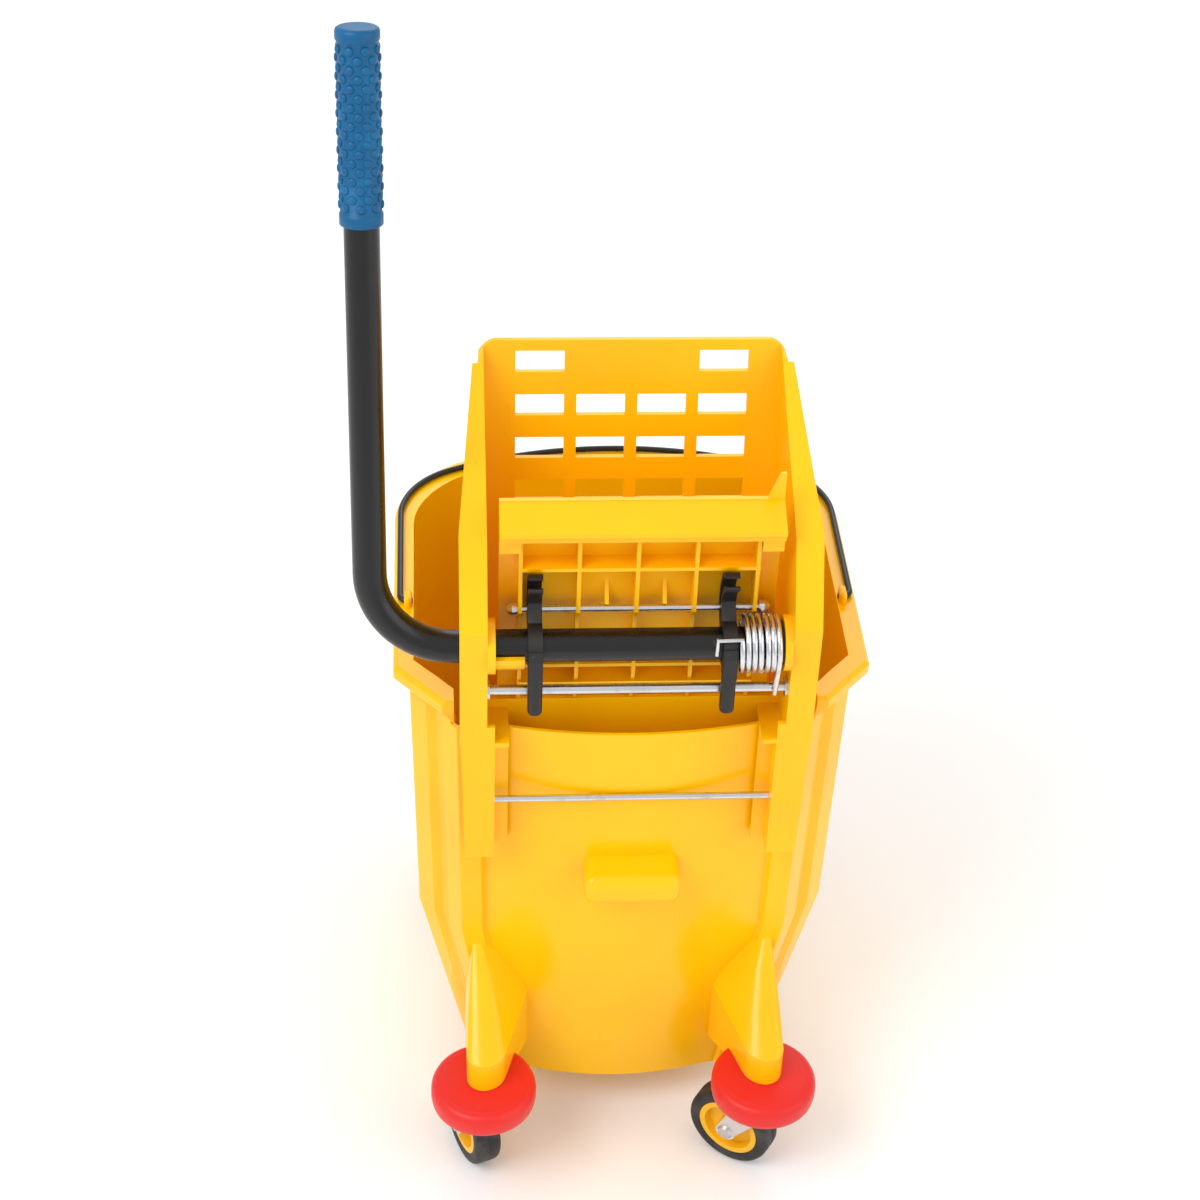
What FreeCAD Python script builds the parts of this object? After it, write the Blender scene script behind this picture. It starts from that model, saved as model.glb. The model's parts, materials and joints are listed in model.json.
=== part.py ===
import FreeCAD, Part
import Sketcher
import math
import os

doc = FreeCAD.newDocument("MopBucket")
sheet = doc.addObject("Spreadsheet::Sheet", "Sheet")
pieces = []


class Size:
    """A number that also knows the spreadsheet expression it comes from."""

    def __init__(self, value, text):
        self.value = float(value)
        self.text = text

    def __add__(self, other):
        other = asSize(other)
        return Size(self.value + other.value, "(%s + %s)" % (self.text, other.text))

    def __radd__(self, other):
        return asSize(other) + self

    def __sub__(self, other):
        other = asSize(other)
        return Size(self.value - other.value, "(%s - %s)" % (self.text, other.text))

    def __rsub__(self, other):
        return asSize(other) - self

    def __mul__(self, other):
        other = asSize(other)
        return Size(self.value * other.value, "(%s * %s)" % (self.text, other.text))

    def __rmul__(self, other):
        return asSize(other) * self

    def __truediv__(self, other):
        other = asSize(other)
        return Size(self.value / other.value, "(%s / %s)" % (self.text, other.text))

    def __neg__(self):
        return Size(-self.value, "(0 - %s)" % self.text)


def root(size):
    return Size(math.sqrt(size.value), "sqrt(%s)" % size.text)


def asSize(number):
    if isinstance(number, Size):
        return number
    return Size(number, "%g" % number if number >= 0 else "(0 - %g)" % -number)


# ---------------------------------------------------------------- driving dimensions
# X runs across the bucket, Y from the wringer end (rear) to the pouring end, Z up.
# Positions along Y are measured from the axis of the wringer's lever shaft.
DIMENSIONS = {
    "midX": 15.2,             # bucket's middle plane from the origin
    "shaftY": -130.0,         # lever shaft's axis from the origin
    # bucket
    "wall": 3.5,
    "bottomZ": 46.0,
    "waistZ": 215.0,
    "saddleZ": 438.0,         # low rear edge that carries the wringer
    "rimZ": 472.0,
    "skirtZ": 446.0,
    "bottomHalf": 125.0,
    "waistHalf": 166.0,
    "topHalf": 171.0,
    "rimHalf": 187.0,
    "rearY": -2.0,
    "bottomFrontY": 262.0,
    "waistFrontY": 300.0,
    "topFrontY": 318.0,
    "rimFrontY": 338.0,
    "rimRearY": 6.0,
    "notchHalf": 140.0,
    "bowRise": 17.0,
    "pillarY": 10.0,
    "bottomCorner": 50.0,
    "waistCorner": 64.0,
    "rimCorner": 72.0,
    "crownRadius": 330.0,
    # feet and casters
    "casterX": 117.6,
    "rearCasterY": -66.6,
    "frontCasterY": 326.6,
    "footRadius": 14.0,
    "bumperRadius": 43.9,
    "bumperDepth": 25.7,
    "bumperZ": 101.5,
    "bumperRound": 9.0,
    "stemRadius": 5.0,
    "stemTopZ": 138.0,
    "trail": 24.0,
    "wheelRadius": 38.0,
    "tyreWidth": 23.0,
    "hubRadius": 27.5,
    "axleRadius": 4.0,
    "forkPlate": 2.5,
    "forkTopZ": 86.0,
    "fit": 0.05,              # running clearance on a radius
    # carrying bail
    "bailRadius": 2.5,
    "bailHalf": 182.0,
    "bailPivotY": 120.0,
    "bailZ": 475.2,
    "bailFrontY": 331.0,
    # wringer frame
    "cheekInner": 115.0,
    "cheekSheet": 4.0,
    "flangeOuter": 136.0,
    "flangeRearY": -17.5,
    "kinkY": 16.0,
    "kinkZ": 611.0,
    "frameTopY": 172.0,
    "frameTopZ": 690.0,
    "frameCorner": 20.0,
    "tabZ": 322.0,
    "tabInner": 109.0,
    "pressBottomZ": 386.0,
    "pressBottomY": 106.0,
    "slotWide": 38.0,
    "slotTall": 17.0,
    "slotPitchX": 47.5,
    "slotPitchZ": 35.0,
    # lever
    "shaftZ": 525.0,
    "tubeRadius": 12.7,
    "tubeSheet": 1.6,
    "leverX": -202.0,
    "leverLean": 12.3,
    "leverLength": 468.0,
    "leverBend": 62.0,
    "gripRadius": 15.4,
    "gripLength": 138.0,
    "shaftEnd": 112.5,
    "armLeftX": -79.0,
    "armRightX": 68.0,
    "armWide": 11.0,
    "hubWall": 5.0,
    "bossRadius": 21.5,
    "bushRadius": 15.2,
    "springWire": 2.3,
    "springCoil": 20.9,
    # press plate and its linkage
    "hingeY": 40.0,
    "hingeZ": 398.0,
    "pinY": 22.0,
    "pinZ": 543.0,
    "pinRadius": 2.9,
    "pinHalf": 96.0,
    "plateHalf": 106.0,
    "plateTopZ": 638.0,
    "plateSheet": 4.0,
    "leverStroke": 64.0,
    "plateStroke": 11.52,
    # rods
    "stopY": -4.4,
    "stopZ": 485.3,
    "stopRadius": 4.0,
    "washerSheet": 2.0,
    "stayY": -8.0,
    "stayZ": 376.0,
    "stayRadius": 2.8,
}

for row, (alias, number) in enumerate(DIMENSIONS.items(), start=1):
    sheet.set("A%d" % row, alias)
    sheet.set("B%d" % row, "%g" % number)
    sheet.setAlias("B%d" % row, alias)
doc.recompute()


class Dimensions:
    def __getattr__(self, alias):
        return Size(sheet.get(alias), "Sheet.%s" % alias)


D = Dimensions()


# ---------------------------------------------------------------- modelling helpers
def bind(thing, prop, size):
    size = asSize(size)
    if "." not in prop:
        setattr(thing, prop, size.value)
    thing.setExpression(prop, size.text)


def place(thing, x=0, y=0, z=0):
    """Put an object at a point given from the bucket's middle plane and the shaft's axis."""
    bind(thing, "Placement.Base.x", D.midX + x)
    bind(thing, "Placement.Base.y", D.shaftY + y)
    bind(thing, "Placement.Base.z", z)
    return thing


def turned(thing, axis, degrees):
    thing.Placement.Rotation = FreeCAD.Rotation(FreeCAD.Vector(*axis), degrees)
    return thing


def named(thing, label):
    thing.Label = label
    pieces.append(thing)
    return thing


def newBody(label, x=0, y=0, z=0):
    body = doc.addObject("PartDesign::Body", label.replace("_", ""))
    place(body, x, y, z)
    return named(body, label)


def newSketch(body, plane, offset=None):
    sketch = body.newObject("Sketcher::SketchObject", body.Name + "Sketch")
    origin = [item for item in body.Origin.OriginFeatures if item.Role == plane][0]
    sketch.AttachmentSupport = [(origin, "")]
    sketch.MapMode = "FlatFace"
    if offset is not None:
        bind(sketch, "AttachmentOffset.Base.z", offset)
    return sketch


def fixPoint(sketch, edge, end, x, y):
    for kind, size in (("DistanceX", asSize(x)), ("DistanceY", asSize(y))):
        index = sketch.addConstraint(Sketcher.Constraint(kind, -1, 1, edge, end, size.value))
        sketch.setExpression("Constraints[%d]" % index, size.text)


def outline(sketch, points, closed=True):
    """Join points (x, y) with lines, or with an arc where a point carries a radius.

    A positive radius turns left from that point to the next one, a negative one right.
    """
    count = len(points)
    spans = count if closed else count - 1
    ends = []
    for index in range(spans):
        here = points[index]
        there = points[(index + 1) % count]
        a = FreeCAD.Vector(asSize(here[0]).value, asSize(here[1]).value, 0)
        b = FreeCAD.Vector(asSize(there[0]).value, asSize(there[1]).value, 0)
        if len(here) < 3:
            edge = sketch.addGeometry(Part.LineSegment(a, b), False)
            ends.append((edge, 1, 2))
            continue
        radius = asSize(here[2])
        chord = b - a
        left = FreeCAD.Vector(-chord.y, chord.x, 0).normalize()
        rise = math.sqrt(max(radius.value ** 2 - (chord.Length / 2) ** 2, 0))
        side = 1 if radius.value > 0 else -1
        centre = (a + b) * 0.5 + left * rise * side
        start, stop = (a, b) if side > 0 else (b, a)
        first = math.atan2(start.y - centre.y, start.x - centre.x)
        last = math.atan2(stop.y - centre.y, stop.x - centre.x)
        circle = Part.Circle(centre, FreeCAD.Vector(0, 0, 1), abs(radius.value))
        edge = sketch.addGeometry(Part.ArcOfCircle(circle, first, last), False)
        ends.append((edge, 1, 2) if side > 0 else (edge, 2, 1))
        index = sketch.addConstraint(Sketcher.Constraint("Radius", edge, abs(radius.value)))
        sketch.setExpression("Constraints[%d]" % index, (radius * side).text)
    for index, point in enumerate(points):
        if index < spans:
            fixPoint(sketch, ends[index][0], ends[index][1], point[0], point[1])
        else:
            fixPoint(sketch, ends[-1][0], ends[-1][2], point[0], point[1])
        if 0 < index < spans or (index == 0 and closed):
            before = ends[index - 1]
            here = ends[index]
            sketch.addConstraint(Sketcher.Constraint("Coincident", before[0], before[2], here[0], here[1]))
    return sketch


def circle(sketch, x, y, radius):
    radius = asSize(radius)
    centre = FreeCAD.Vector(asSize(x).value, asSize(y).value, 0)
    edge = sketch.addGeometry(Part.Circle(centre, FreeCAD.Vector(0, 0, 1), radius.value), False)
    fixPoint(sketch, edge, 3, x, y)
    index = sketch.addConstraint(Sketcher.Constraint("Radius", edge, radius.value))
    sketch.setExpression("Constraints[%d]" % index, radius.text)
    return sketch


def boxed(sketch, x0, y0, x1, y1):
    return outline(sketch, [(x0, y0), (x1, y0), (x1, y1), (x0, y1)])


def feature(body, kind, sketch, size=None, back=False):
    item = body.newObject("PartDesign::" + kind, body.Name + kind)
    item.Profile = sketch
    if size is not None:
        bind(item, "Length", size)
    if back:
        item.Reversed = True
    return item


def loft(body, kind, sketches):
    item = body.newObject("PartDesign::" + kind, body.Name + kind)
    item.Profile = sketches[0]
    item.Sections = sketches[1:]
    return item


def revolve(body, kind, sketch, axis):
    item = body.newObject("PartDesign::" + kind, body.Name + kind)
    item.Profile = sketch
    item.ReferenceAxis = (sketch, [axis])
    item.Angle = 360
    return item


def mirrored(body, features, plane):
    item = body.newObject("PartDesign::Mirrored", body.Name + "Mirrored")
    item.Originals = features
    origin = [entry for entry in body.Origin.OriginFeatures if entry.Role == plane][0]
    item.MirrorPlane = (origin, [""])
    body.Tip = item
    return item


def rod(label, radius, length, x, y, z):
    """A plain round bar that runs along X from its left end."""
    bar = doc.addObject("Part::Cylinder", label.replace("_", ""))
    bind(bar, "Radius", radius)
    bind(bar, "Height", length)
    turned(bar, (0, 1, 0), 90)
    place(bar, x, y, z)
    return named(bar, label)


# ---------------------------------------------------------------- bucket
def crownedFront(half, frontY, cornerRadius):
    """Points of a front side whose two corner arcs run tangent into one wide crown arc."""
    crown = D.crownRadius
    across = half - cornerRadius
    along = root((crown - cornerRadius) * (crown - cornerRadius) - across * across)
    bendY = frontY - crown + along
    joinX = crown * across / (crown - cornerRadius)
    joinY = frontY - crown + crown * along / (crown - cornerRadius)
    right = [(half, bendY, cornerRadius), (joinX, joinY, crown)]
    left = [(-joinX, joinY, cornerRadius), (-half, bendY)]
    return right + left


def shellOutline(half, frontY, cornerRadius, inset=0, recessed=True):
    """Level section of the bucket: bowed rear panel, a pillar each side, crowned front.

    The hollow's floor has no recess behind the pillars, so the walls lean out all round it.
    """
    bowX = half * 0.70
    bowY = D.rearY + D.bowRise + inset
    stepX = half * 0.72 + inset
    pillarX = half * 0.80 + inset * 0.3
    pillarY = D.pillarY + inset if recessed else bowY
    sideY = D.pillarY + 32 + inset * 0.5
    side = half - inset
    bowRadius = bowX * bowX / (D.bowRise * 2) + D.bowRise / 2
    front = crownedFront(side, frontY - inset, cornerRadius - inset)
    return ([(bowX, bowY), (stepX, pillarY), (pillarX, pillarY), (side, sideY)] + front
            + [(-side, sideY), (-pillarX, pillarY), (-stepX, pillarY), (-bowX, bowY, bowRadius)])


def rimOutline(inset, rearY, rearRadius):
    half = D.rimHalf - inset
    front = crownedFront(half, D.rimFrontY - inset, D.rimCorner - inset)
    return ([(half - rearRadius, rearY, rearRadius), (half, rearY + rearRadius)] + front
            + [(-half, rearY + rearRadius, rearRadius), (-half + rearRadius, rearY)])


def shellSections(body, topZ, topHalf, inset):
    """Sections at the floor, the waist and the top, drawn smaller by inset for the hollow.

    The hollow's wall has a little draft at the floor, where it is a fifth thicker.
    """
    solid = asSize(inset).value == 0
    levels = [(D.bottomZ + inset, D.bottomHalf, D.bottomFrontY, D.bottomCorner, inset * 1.2, solid),
              (D.waistZ, D.waistHalf, D.waistFrontY, D.waistCorner, inset, True),
              (topZ, topHalf, D.topFrontY, D.waistCorner, inset, True)]
    return [outline(newSketch(body, "XY_Plane", z), shellOutline(half, frontY, corner, within, recessed))
            for z, half, frontY, corner, within, recessed in levels]


def makeBucket():
    body = newBody("bucket_body")
    sections = shellSections(body, D.saddleZ, D.topHalf, 0)
    loft(body, "AdditiveLoft", sections[0:2])
    loft(body, "AdditiveLoft", sections[1:3])
    makeRim(body)
    makeLegs(body)
    hollowBucket(body)
    makeBailEars(body)
    return body


def makeRim(body):
    """Broad rim with a turned-down skirt; the wall is carried up inside it to the top."""
    outer = newSketch(body, "XY_Plane", D.skirtZ)
    outline(outer, rimOutline(0, D.rimRearY, 24))
    feature(body, "Pad", outer, D.rimZ - D.skirtZ)
    groove = newSketch(body, "XY_Plane", D.skirtZ)
    outline(groove, rimOutline(D.wall, D.rimRearY + D.wall, 21))
    feature(body, "Pocket", groove, D.rimZ - D.skirtZ - D.wall, back=True)
    ring = newSketch(body, "XY_Plane", D.saddleZ)
    outline(ring, shellOutline(D.topHalf, D.topFrontY, D.waistCorner))
    feature(body, "Pad", ring, D.rimZ - D.saddleZ)


def makeLegs(body):
    """Four legs that taper from the wall out to a round foot over each caster."""
    footZ = D.bumperZ + D.bumperDepth / 2
    outer = D.casterX + D.footRadius
    inner = D.casterX - D.footRadius
    tip = D.footRadius + 0.02
    legs = []
    for footY, insideY in ((D.rearCasterY, D.rearCasterY + 110), (D.frontCasterY, D.frontCasterY - 110)):
        wide = [(inner - 44, insideY), (outer, insideY)]
        if footY.value < insideY.value:
            points = [(inner, footY, tip), (outer, footY), wide[1], wide[0]]
        else:
            points = [wide[0], wide[1], (outer, footY, tip), (inner, footY)]
        plan = outline(newSketch(body, "XY_Plane", footZ), points)
        legs.append(feature(body, "Pad", plan, 90))
    mirrored(body, legs, "YZ_Plane")
    # the tops fall in a straight slope from the wall to the tip of the foot
    reach = outer + 2
    for wallY, tipY, past in ((D.rearY - 1, D.rearCasterY - D.footRadius, -12),
                              (D.waistFrontY + 1, D.frontCasterY + D.footRadius, 12)):
        side = newSketch(body, "YZ_Plane", -reach)
        outline(side, [(wallY, footZ + 92), (wallY, footZ + 88), (tipY, footZ + 9),
                       (tipY + past, footZ + 9), (tipY + past, footZ + 92)])
        feature(body, "Pocket", side, reach * 2, back=True)


def hollowBucket(body):
    sections = shellSections(body, D.rimZ, D.topHalf, D.wall)
    loft(body, "SubtractiveLoft", sections[0:2])
    loft(body, "SubtractiveLoft", sections[1:3])
    notch = newSketch(body, "XY_Plane", D.saddleZ)
    boxed(notch, -D.notchHalf, D.rearY - 20, D.notchHalf, D.rimRearY + 60)
    feature(body, "Pocket", notch, D.rimZ - D.saddleZ + 10, back=True)
    bores = newSketch(body, "XY_Plane", D.bumperZ)
    for x in (-D.casterX, D.casterX):
        for y in (D.rearCasterY, D.frontCasterY):
            circle(bores, x, y, D.stemRadius + D.fit)
    feature(body, "Pocket", bores, D.stemTopZ - D.bumperZ + 1, back=True)


def makeBailEars(body):
    ears = newSketch(body, "XY_Plane", D.rimZ - 1)
    inner, outer = D.topHalf + 1, D.bailHalf - 6.3
    for low, high in ((inner, outer), (-outer, -inner)):
        boxed(ears, low, D.bailPivotY - 7, high, D.bailPivotY + 7)
    feature(body, "Pad", ears, 11)
    eye = newSketch(body, "YZ_Plane", -D.bailHalf)
    circle(eye, D.bailPivotY, D.bailZ, D.bailRadius + D.fit)
    feature(body, "Pocket", eye, D.bailHalf * 2, back=True)


makeBucket()


# ---------------------------------------------------------------- carrying bail
def makeBail():
    """Round wire that lies on the rim; its ends turn inwards into the rim's ears."""
    body = newBody("bail_handle", 0, 0, D.bailZ)
    bend = 6
    inner = D.topHalf + 0.8
    half, pivotY = D.bailHalf, D.bailPivotY
    front = crownedFront(half, D.bailFrontY, D.rimCorner)
    points = [(inner, pivotY), (half - bend, pivotY, bend), (half, pivotY + bend)] + front
    points += [(-half, pivotY + bend, bend), (-half + bend, pivotY), (-inner, pivotY)]
    path = outline(newSketch(body, "XY_Plane"), points, closed=False)
    section = newSketch(body, "YZ_Plane", inner)
    circle(section, pivotY, 0, D.bailRadius)
    pipe = body.newObject("PartDesign::AdditivePipe", "BailPipe")
    pipe.Profile = section
    pipe.Spine = path
    return body


makeBail()


# ---------------------------------------------------------------- casters
def ringProfile(body, inner, outer, halfDepth, rounding):
    """Half section of a ring about Z with rounded outer edges."""
    sketch = newSketch(body, "XZ_Plane")
    points = [(inner, -halfDepth), (outer - rounding, -halfDepth, rounding),
              (outer, -halfDepth + rounding), (outer, halfDepth - rounding, rounding),
              (outer - rounding, halfDepth), (inner, halfDepth)]
    return outline(sketch, points)


def makeBumper(name, x, y):
    body = newBody("bumper_" + name, x, y, D.bumperZ)
    profile = ringProfile(body, D.stemRadius + D.fit, D.bumperRadius, D.bumperDepth / 2, D.bumperRound)
    revolve(body, "Revolution", profile, "V_Axis")


def makeStem(name, x, y):
    """Swivel pin with the flange that rides under the bumper."""
    body = newBody("caster_stem_" + name, x, y, D.forkTopZ)
    flangeTop = D.bumperZ - D.bumperDepth / 2 - D.forkTopZ - 0.2
    length = D.stemTopZ - D.forkTopZ
    stem = D.stemRadius
    profile = outline(newSketch(body, "XZ_Plane"), [
        (0, 0), (13, 0), (13, flangeTop), (stem, flangeTop), (stem, length - 2),
        (stem - 1.5, length), (0, length)])
    revolve(body, "Revolution", profile, "V_Axis")


def makeFork(name, x, y, heading):
    """Pressed fork; its own X axis points the way the wheel trails behind the stem."""
    body = newBody("caster_fork_" + name, x, y, 0)
    turned(body, (0, 0, 1), heading)
    gap = D.tyreWidth / 2 + 1.5
    sheetThick = D.forkPlate
    topZ = D.forkTopZ
    eye = 9.5
    for inner in (gap, -gap - sheetThick):
        side = outline(newSketch(body, "XZ_Plane", -inner - sheetThick), [
            (-13, topZ), (-13, topZ - 10), (D.trail - eye, D.wheelRadius, eye + 0.02),
            (D.trail + eye, D.wheelRadius), (17, topZ - 12), (17, topZ)])
        feature(body, "Pad", side, sheetThick)
    top = boxed(newSketch(body, "XY_Plane", topZ - sheetThick), -13, -gap - 1, 17, gap + 1)
    feature(body, "Pad", top, sheetThick)
    eyes = newSketch(body, "XZ_Plane", -gap - sheetThick - 1)
    circle(eyes, D.trail, D.wheelRadius, D.axleRadius)
    feature(body, "Pocket", eyes, gap * 2 + sheetThick * 2 + 2, back=True)


def onWheel(body, heading):
    """Turn a body so that its own Z axis lies along the axle."""
    upright = FreeCAD.Rotation(FreeCAD.Vector(1, 0, 0), 90)
    body.Placement.Rotation = FreeCAD.Rotation(FreeCAD.Vector(0, 0, 1), heading).multiply(upright)


def makeWheel(name, x, y, heading):
    turn = math.radians(heading)
    x = x + D.trail * round(math.cos(turn), 5)
    y = y + D.trail * round(math.sin(turn), 5)
    halfWidth = D.tyreWidth / 2
    hub = newBody("wheel_hub_" + name, x, y, D.wheelRadius)
    onWheel(hub, heading)
    bore, sleeve, web = D.axleRadius + D.fit, 8.5, 3.5
    rimIn = D.hubRadius - 5
    profile = outline(newSketch(hub, "XZ_Plane"), [
        (bore, -halfWidth - 1), (sleeve, -halfWidth - 1), (sleeve + 1, -web), (rimIn - 1.5, -web),
        (rimIn, -halfWidth + 1), (D.hubRadius, -halfWidth + 1), (D.hubRadius, halfWidth - 1),
        (rimIn, halfWidth - 1), (rimIn - 1.5, web), (sleeve + 1, web), (sleeve, halfWidth + 1),
        (bore, halfWidth + 1)])
    revolve(hub, "Revolution", profile, "V_Axis")
    tyre = newBody("tyre_" + name, x, y, D.wheelRadius)
    onWheel(tyre, heading)
    revolve(tyre, "Revolution", ringProfile(tyre, D.hubRadius, D.wheelRadius, halfWidth, 4.5), "V_Axis")
    axle = newBody("axle_" + name, x, y, D.wheelRadius)
    onWheel(axle, heading)
    outside = halfWidth + 1.5 + D.forkPlate
    pin = D.axleRadius
    profile = outline(newSketch(axle, "XZ_Plane"), [
        (0, -outside - 2.5), (pin + 1.5, -outside - 2.5), (pin + 3, -outside), (pin, -outside),
        (pin, outside), (pin + 3, outside), (pin + 1.5, outside + 2.5), (0, outside + 2.5)])
    revolve(axle, "Revolution", profile, "V_Axis")


CASTERS = (("rear_left", -1, D.rearCasterY, 112), ("rear_right", 1, D.rearCasterY, 145),
           ("front_left", -1, D.frontCasterY, 262), ("front_right", 1, D.frontCasterY, 284))

for name, side, y, heading in CASTERS:
    x = D.casterX * side
    makeBumper(name, x, y)
    makeStem(name, x, y)
    makeFork(name, x, y, heading)
    makeWheel(name, x, y, heading)


# ---------------------------------------------------------------- wringer frame
def makeWringer():
    """Moulded frame: two cheeks, a perforated front wall, a drained floor and hanging tabs."""
    body = newBody("wringer_housing")
    inner, sheetThick = D.cheekInner, D.cheekSheet
    seat = D.saddleZ + 0.3
    rear, kink = D.flangeRearY, (D.kinkY, D.kinkZ)
    top = (D.frameTopY, D.frameTopZ)
    foot = (D.pressBottomY, D.pressBottomZ)
    shoulder = (rear, D.kinkZ - 62)
    for start in (inner, -inner - sheetThick):
        cheek = outline(newSketch(body, "YZ_Plane", start), [
            (rear, seat), (26, seat), (26, foot[1]), foot, top, kink, shoulder])
        feature(body, "Pad", cheek, sheetThick)
    front = outline(newSketch(body, "YZ_Plane", -inner), [
        foot, top, (top[0] - sheetThick, top[1]), (foot[0] - sheetThick, foot[1])])
    feature(body, "Pad", front, inner * 2)
    floor = outline(newSketch(body, "YZ_Plane", -inner), [
        (26, seat + 12), (26, foot[1]), foot, (foot[0] - 2, foot[1] + sheetThick),
        (30, foot[1] + sheetThick), (30, seat + 12)])
    feature(body, "Pad", floor, inner * 2)
    for start in (inner, -D.flangeOuter):
        flange = outline(newSketch(body, "YZ_Plane", start), [
            (rear, seat), (rear + sheetThick, seat), (rear + sheetThick, shoulder[1] - 1),
            (kink[0] + 2, kink[1] - 3), (top[0], top[1] - 4), top, kink, shoulder])
        feature(body, "Pad", flange, D.flangeOuter - inner)
    makeTabs(body, seat)
    makeBearings(body)
    trimFlanges(body)
    pierceFront(body)
    drainFloor(body)
    return body


def makeTabs(body, seat):
    """Hanging tabs outside the bucket's rear wall, each an angle section."""
    rear, sheetThick = D.flangeRearY, D.cheekSheet
    for side in (1, -1):
        face = newSketch(body, "XZ_Plane", -rear - sheetThick)
        points = [(D.tabInner * side, D.tabZ), (132 * side, D.tabZ), (D.flangeOuter * side, seat + 20),
                  (D.tabInner * side, seat + 20)]
        outline(face, points if side > 0 else points[::-1])
        feature(body, "Pad", face, sheetThick)
        web = newSketch(body, "XY_Plane", D.tabZ)
        low, high = (D.tabInner, D.tabInner + sheetThick)
        if side < 0:
            low, high = -high, -low
        boxed(web, low, rear, high, 4)
        feature(body, "Pad", web, seat - D.tabZ)
        lap = newSketch(body, "XY_Plane", D.tabZ)
        near, far = (D.tabInner - 11, D.tabInner + 1)
        if side < 0:
            near, far = -far, -near
        boxed(lap, near, 0, far, 4)
        feature(body, "Pad", lap, seat - D.tabZ)
        # the web and lap join the cheek just above the seat
        bridge = newSketch(body, "XY_Plane", seat)
        near, far = (D.tabInner - 11, D.cheekInner + 1)
        if side < 0:
            near, far = -far, -near
        boxed(bridge, near, rear, far, 30)
        feature(body, "Pad", bridge, sheetThick)


def makeBearings(body):
    """Bosses for the lever's bushes, and a half saddle under the shaft beside the left cheek."""
    for start in (D.cheekInner - 6, -D.cheekInner):
        boss = circle(newSketch(body, "YZ_Plane", start), 0, D.shaftZ, D.bossRadius)
        feature(body, "Pad", boss, 6)
    eyes = circle(newSketch(body, "YZ_Plane", -D.cheekInner - 10), 0, D.shaftZ, D.bushRadius)
    feature(body, "Pocket", eyes, D.cheekInner * 2 + 20, back=True)
    saddle = newSketch(body, "YZ_Plane", -D.cheekInner + 6)
    outer, inside = 18, D.tubeRadius + 0.6
    outline(saddle, [(0, D.shaftZ - inside, -inside), (-inside, D.shaftZ), (-outer, D.shaftZ, outer),
                     (0, D.shaftZ - outer)])
    feature(body, "Pad", saddle, 22)
    for y, z, radius in ((D.stopY, D.stopZ, D.stopRadius), (D.stayY, D.stayZ, D.stayRadius),
                         (D.hingeY, D.hingeZ, D.stayRadius)):
        eyes = circle(newSketch(body, "YZ_Plane", -D.cheekInner - 5), y, z, radius)
        feature(body, "Pocket", eyes, D.cheekInner * 2 + 10, back=True)


def trimFlanges(body):
    """The flanges narrow towards the front top corners, which are rounded off."""
    plan = newSketch(body, "XY_Plane", D.saddleZ - 10)
    for side in (1, -1):
        points = [(D.flangeOuter * side, D.kinkY + 6), ((D.flangeOuter + 9) * side, D.kinkY + 6),
                  ((D.flangeOuter + 9) * side, D.frameTopY + 9), (121 * side, D.frameTopY + 9)]
        outline(plan, points if side > 0 else points[::-1])
    feature(body, "Pocket", plan, 300, back=True)
    corners = newSketch(body, "XZ_Plane", -D.frameTopY - 10)
    rounding = D.frameCorner
    start, stop = D.cheekInner + 6.5, D.cheekInner + 6.5 - rounding
    past = D.flangeOuter + 4
    for side in (1, -1):
        low, high = (start * side, D.frameTopZ - rounding), (stop * side, D.frameTopZ + 1)
        outside = [(past * side, D.frameTopZ - rounding * 2), (past * side, D.frameTopZ + 1)]
        if side > 0:
            outline(corners, [low] + outside + [high + (-rounding - 1,)])
        else:
            outline(corners, [high] + outside[::-1] + [low + (-rounding - 1,)])
    feature(body, "Pocket", corners, 30, back=True)


def pierceFront(body):
    slots = newSketch(body, "XZ_Plane", -D.frameTopY - 20)
    for level in range(8):
        columns = (-1.5, 1.5) if level == 0 else (-1.5, -0.5, 0.5, 1.5)
        for column in columns:
            x = D.slotPitchX * column
            z = D.frameTopZ - 17 - D.slotPitchZ * level
            boxed(slots, x - D.slotWide / 2, z - D.slotTall / 2, x + D.slotWide / 2, z + D.slotTall / 2)
    feature(body, "Pocket", slots, 125, back=True)


def drainFloor(body):
    holes = newSketch(body, "XY_Plane", D.pressBottomZ - 5)
    for column in range(-3, 4):
        boxed(holes, 30 * column - 6, 54, 30 * column + 6, 96)
    feature(body, "Pocket", holes, 15, back=True)


makeWringer()

for side, x in (("left", -D.cheekInner - D.cheekSheet), ("right", D.cheekInner - 6)):
    bush = newBody("shaft_bush_" + side, x, 0, D.shaftZ)
    ring = newSketch(bush, "YZ_Plane")
    circle(ring, 0, 0, D.bushRadius)
    circle(ring, 0, 0, D.tubeRadius + D.fit)
    feature(bush, "Pad", ring, D.cheekSheet + 6)
    if side == "right":
        collar = newSketch(bush, "YZ_Plane", -2)
        circle(collar, 0, 0, 17)
        circle(collar, 0, 0, D.tubeRadius + D.fit)
        feature(bush, "Pad", collar, 2)

rodLength = (D.cheekInner + D.cheekSheet) * 2
rod("stop_rod", D.stopRadius, rodLength, -D.cheekInner - D.cheekSheet, D.stopY, D.stopZ)
rod("plate_hinge_rod", D.stayRadius, rodLength + 6, -D.cheekInner - D.cheekSheet - 3, D.hingeY, D.hingeZ)
rod("stay_rod", D.stayRadius, D.tabInner * 2 + 14, -D.tabInner - 7, D.stayY, D.stayZ)


def makeWasher(label, inner, outer, thick, x, y, z):
    body = newBody(label, x, y, z)
    ring = newSketch(body, "YZ_Plane")
    circle(ring, 0, 0, outer)
    circle(ring, 0, 0, inner)
    feature(body, "Pad", ring, thick)


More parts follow.
